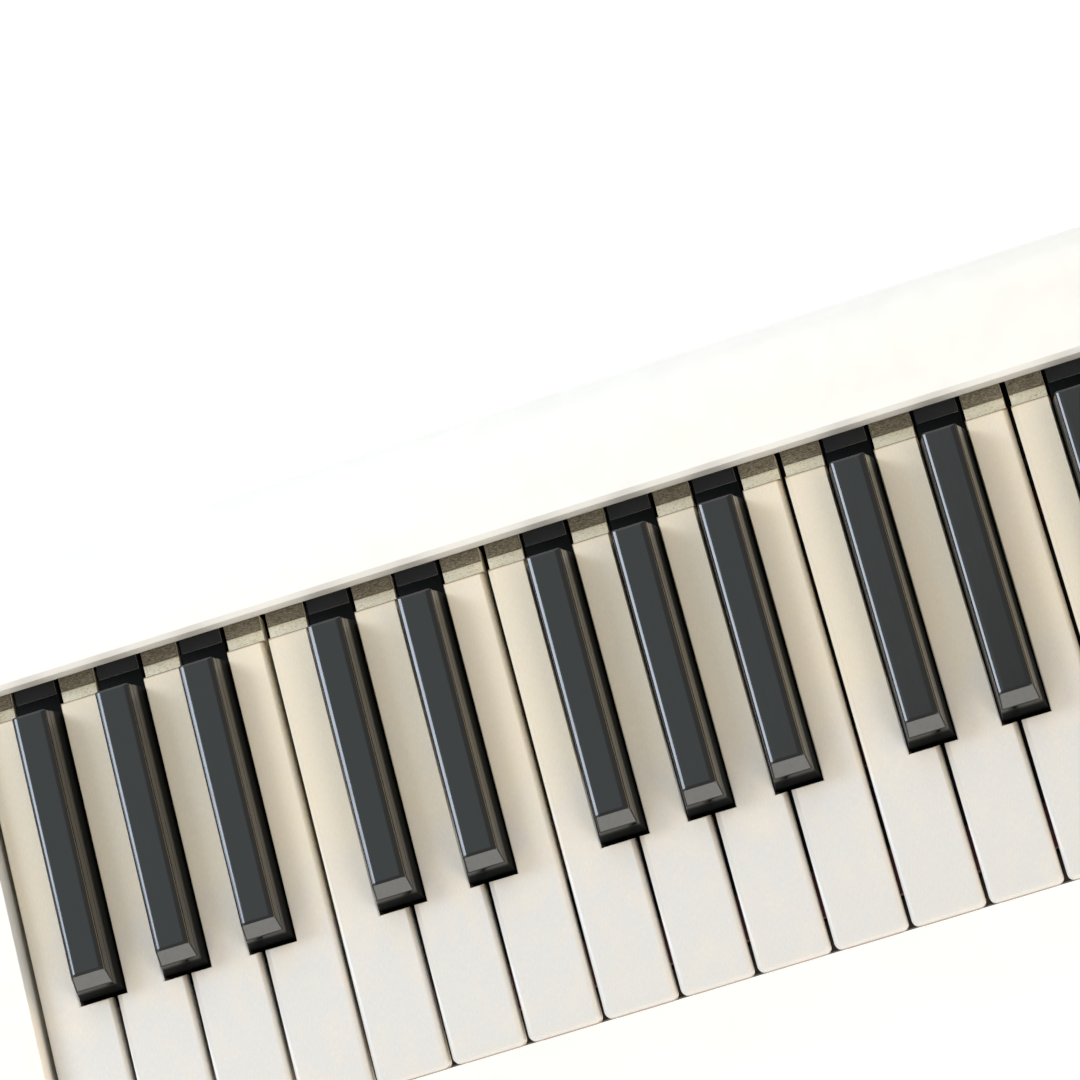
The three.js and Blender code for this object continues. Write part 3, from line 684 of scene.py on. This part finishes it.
def key_body(name, material):
    """The body of a key with its arm, and its pad in leather."""
    body = make_piece(name.replace("key_", "key_body_"), lower_body(name), material, 0.3, 2, 40.0)
    body.data.materials.append(chamois)
    for face in body.data.polygons:
        if face.center.z < PAD_SEAM:
            face.material_index = 1
    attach(body, name)
    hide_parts(name)


def tail_felt(name, left, right, material):
    """The felt patch on a key's ledge, rounded at its edges."""
    inset = 0.4 * mm
    outline = [(left + inset, FELT_START), (right - inset, FELT_START), (right - inset, FELT_END),
               (left + inset, FELT_END)]
    shape = prism(outline, ledge_top, ledge_top + FELT, (1.0, 0.0, 1.0, 1.0))
    patch = make_piece(name.replace("key_", "tail_felt_"), shape, material, 0.3, 2, weights=True)
    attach(patch, name)


for name in white_names:
    low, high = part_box(name)
    left, right = tail_of(name)
    outline = arc(low.x + CORNER, cap_front + CORNER, CORNER, 2, 3)
    outline += arc(high.x - CORNER, cap_front + CORNER, CORNER, 3, 4)
    if right < high.x:
        outline += [(high.x, shoulder), (right, shoulder)]
    outline += [(right, cap_rear), (left, cap_rear)]
    if left > low.x:
        outline += [(left, shoulder), (low.x, shoulder)]
    shape = prism(outline, ledge_top, cap_top, (1.0, 0.2, TAIL_EDGE, TAIL_EDGE), shoulder)
    cap = make_piece(name.replace("key_", "white_cap_"), shape, ivory, EDGE, 5, weights=True)
    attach(cap, name)
    key_body(name, cream)
    # Painted shade: the grey-brown felt stands in for the shadow under the cover lip.
    tail_felt(name, left, right, shade_toned_felt)

# ---------------------------------------------------------------------------
# Black keys.
# Each is moulded in black ABS: steep sides, dull below and polished above, a sloped front facet and a narrow
# flat top with a soft shoulder along each side. Behind it lies a low black ledge with a strip of black felt.
# ---------------------------------------------------------------------------

FLAT_HALF = 3.4 * mm
SETBACK = 4.2 * mm
STEEP = 6.0 * mm
LEAN = 0.9 * mm
BROW_HALF = 4.6 * mm
BROW_DROP = 0.5 * mm
top_rear = cap_rear - 3.5 * mm
black_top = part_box(black_names[0])[1].z

# Polished black ABS: deep black under a clear gloss, with faint polishing lines along the key. Low down the
# sides keep the dull finish of the mould.
black_abs, tree = new_material("polished_black_ABS")
at = place(tree)
parts = add(tree, "ShaderNodeSeparateXYZ", {"Vector": at})
dull_line = cap_top / mm + 4.5
haze = add(tree, "ShaderNodeTexNoise", {"Vector": stretch(tree, at, 0.25, 0.03, 0.25), "Detail": 5.0})
lines = add(tree, "ShaderNodeTexNoise", {"Vector": stretch(tree, at, 2.5, 0.06, 2.5), "Detail": 3.0})
dust = add(tree, "ShaderNodeTexNoise", {"Vector": stretch(tree, at, 1.1, 1.1, 1.1), "Detail": 2.0})
roughness = add(tree, "ShaderNodeMath", {
    0: span(tree, haze.outputs[0], 0.1, 0.18, 0.3, 0.7),
    1: span(tree, parts.outputs["Z"], 0.4, 0.0, dull_line - 1.0, dull_line + 1.0)}, operation="ADD")
show(tree, add(tree, "ShaderNodeBsdfPrincipled", {
    "Base Color": ramp(tree, dust.outputs[0], (0.4, "080A0A"), (0.8, "141717")),
    "Roughness": roughness.outputs[0],
    "Specular IOR Level": span(tree, parts.outputs["Z"], 0.05, 0.5, dull_line - 1.0, dull_line + 1.0),
    "Normal": bump(tree, lines.outputs[0], 0.004, 0.25),
    "IOR": 1.54}))

# Pressed felt: black wool, no gloss, with a fuzzy nap.
black_felt, tree = new_material("black_pressed_felt")
nap = add(tree, "ShaderNodeTexNoise", {"Vector": stretch(tree, place(tree), 4.0, 4.0, 4.0), "Detail": 4.0})
show(tree, add(tree, "ShaderNodeBsdfPrincipled", {
    "Base Color": ramp(tree, nap.outputs[0], (0.3, "101315"), (0.7, "23282A")),
    "Roughness": 0.92,
    "Sheen Weight": 0.2,
    "Normal": bump(tree, nap.outputs[0], 0.12, 0.6)}))


def black_top_shape(left, right):
    """The upper part of a black key, with bevel weights that round its top more than its foot."""
    made = bmesh.new()
    weight = made.edges.layers.float.new("bevel_weight_edge")
    middle = (left + right) / 2
    rear = top_rear + 1.2 * mm
    brow_front = black_front + SETBACK - (SETBACK - LEAN) * BROW_DROP / (black_top - cap_top - STEEP)
    levels = [
        (ledge_top - GLUE_FILM, left, right, black_front, rear),
        (cap_top, left, right, black_front, rear),
        (cap_top + STEEP, left + LEAN, right - LEAN, black_front + LEAN, rear - 0.7 * mm),
        (black_top - BROW_DROP, middle - BROW_HALF, middle + BROW_HALF, brow_front, top_rear + 0.2 * mm),
        (black_top, middle - FLAT_HALF, middle + FLAT_HALF, black_front + SETBACK, top_rear),
    ]
    rings = [[made.verts.new(p) for p in ((a, y0, z), (b, y0, z), (b, y1, z), (a, y1, z))]
             for z, a, b, y0, y1 in levels]
    made.faces.new(reversed(rings[0]))
    made.faces.new(rings[-1])
    ring_weights = [(0.0, 0.0), (0.0, 0.0), (0.4, 0.2), (0.0, 0.5), (0.6, 0.6)]
    corner_weights = [0.2, 0.35, 0.5, 0.5]
    for low, high, corner in zip(rings, rings[1:], corner_weights):
        for k in range(4):
            made.faces.new((low[k], low[(k + 1) % 4], high[(k + 1) % 4], high[k]))
            made.edges.get((low[k], high[k]))[weight] = corner
    for ring, across_and_along in zip(rings, ring_weights):
        for k in range(4):
            made.edges.get((ring[k], ring[(k + 1) % 4]))[weight] = across_and_along[k % 2]
    return made


for name in black_names:
    low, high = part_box(name)
    top = make_piece(name.replace("key_", "black_top_"), black_top_shape(low.x, high.x), black_abs, 1.0, 4,
                     weights=True)
    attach(top, name)
    key_body(name, black_abs)
    tail_felt(name, low.x, high.x, black_felt)

# ---------------------------------------------------------------------------
# Mouthpiece and its socket.
# The mouthpiece is moulded in glossy ivory polypropylene, flat where the lips close on it, and pushes into a
# black socket in the bass end as far as its round collar.
# ---------------------------------------------------------------------------

# Moulded polypropylene: waxy ivory, a little translucent, with a soft gloss.
polypropylene, tree = new_material("moulded_ivory_polypropylene")
at = place(tree)
cloud = add(tree, "ShaderNodeTexNoise", {"Vector": stretch(tree, at, 0.15, 0.15, 0.15), "Detail": 4.0})
show(tree, add(tree, "ShaderNodeBsdfPrincipled", {
    "Base Color": ramp(tree, cloud.outputs[0], (0.3, "D9D2C0"), (0.7, "E3DDCD")),
    "Roughness": span(tree, cloud.outputs[0], 0.25, 0.38, 0.3, 0.7),
    "Subsurface Weight": 0.15,
    "Subsurface Radius": (1.0, 0.7, 0.4),
    "Subsurface Scale": 1.5 * mm}))

beak = make_piece("mouthpiece_body", cad_copy("mouthpiece"), polypropylene, 0.5, 3, 30.0)
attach(beak, "mouthpiece")
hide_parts("mouthpiece")

socket = make_piece("mouthpiece_socket_ring", cad_copy("mouthpiece_socket"), nylon, 0.3, 2, 30.0)
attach(socket, "case")
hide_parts("mouthpiece_socket")

# ---------------------------------------------------------------------------
# Drain button and its spring.
# A black nylon push button in the treble end opens the drain valve at the end of the wind chest. A coil of
# plated spring wire sits between the chest and the button.
# ---------------------------------------------------------------------------

button = make_piece("drain_button_cap", cad_copy("drain_button"), nylon, 0.35, 3, 30.0)
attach(button, "drain_button")
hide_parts("drain_button")

coil = make_piece("drain_spring_coil", cad_copy("drain_spring"), zinc)
for face in coil.data.polygons:
    face.use_smooth = True
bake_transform(coil)
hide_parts("drain_spring")

# ---------------------------------------------------------------------------
# Hand strap.
# Black nylon webbing, 24 mm wide, spans the palm recess. Each end is stitched and clamped under a moulded
# anchor block.
# ---------------------------------------------------------------------------

# Woven nylon webbing: near-black, in fine ribs across the strap with a zigzag weave and a soft sheen.
webbing, tree = new_material("woven_nylon_webbing")
at = place(tree)
ribs = add(tree, "ShaderNodeTexWave", {"Vector": at, "Scale": 0.22, "Distortion": 0.4, "Detail": 1.0},
           wave_type="BANDS", bands_direction="X")
yarn = add(tree, "ShaderNodeTexWave", {"Vector": at, "Scale": 0.4, "Distortion": 1.2}, bands_direction="Y")
weave = add(tree, "ShaderNodeMath", {0: ribs.outputs["Fac"], 1: yarn.outputs["Fac"]}, operation="MULTIPLY")
show(tree, add(tree, "ShaderNodeBsdfPrincipled", {
    "Base Color": ramp(tree, weave.outputs[0], (0.1, "15171A"), (0.8, "33373C")),
    "Roughness": 0.8,
    "Sheen Weight": 0.3,
    "Normal": bump(tree, weave.outputs[0], 0.3, 0.8)}))

strap = make_piece("hand_strap_webbing", cad_copy("hand_strap"), webbing, 0.5, 3, 12.0)
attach(strap, "case")
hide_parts("hand_strap")

# Bonded polyester thread: charcoal, slightly glossy, with a twist.
thread, tree = new_material("bonded_polyester_thread")
twist = add(tree, "ShaderNodeTexWave", {"Vector": place(tree), "Scale": 1.2}, bands_direction="DIAGONAL")
show(tree, add(tree, "ShaderNodeBsdfPrincipled", {
    "Base Color": ramp(tree, twist.outputs["Fac"], (0.2, "55585C"), (0.8, "777A7D")),
    "Roughness": 0.55}))

strap_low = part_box("hand_strap")[0]
STITCH_PITCH = 2.4 * mm
STITCH_LENGTH = 3.0
stitch = bmesh.new()
bmesh.ops.create_uvsphere(stitch, u_segments=8, v_segments=6, radius=0.3 * mm)
stitch_shape = make_piece("stitch_pattern", stitch, thread)
rows = [(x * mm, strap_low.y + 2.5 * mm + k * STITCH_PITCH, strap_low.z)
        for x in (-44, -41, 41, 44) for k in range(9)]
stitches = repeated("hand_strap_stitches", stitch_shape, rows, thread, STITCH_LENGTH)
bpy.data.objects.remove(stitch_shape)
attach(stitches, "case")

for node in ("strap_anchor_left", "strap_anchor_right"):
    anchor = make_piece(node + "_block", cad_copy(node), nylon, 0.6, 3, 30.0)
    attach(anchor, "case")
    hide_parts(node)
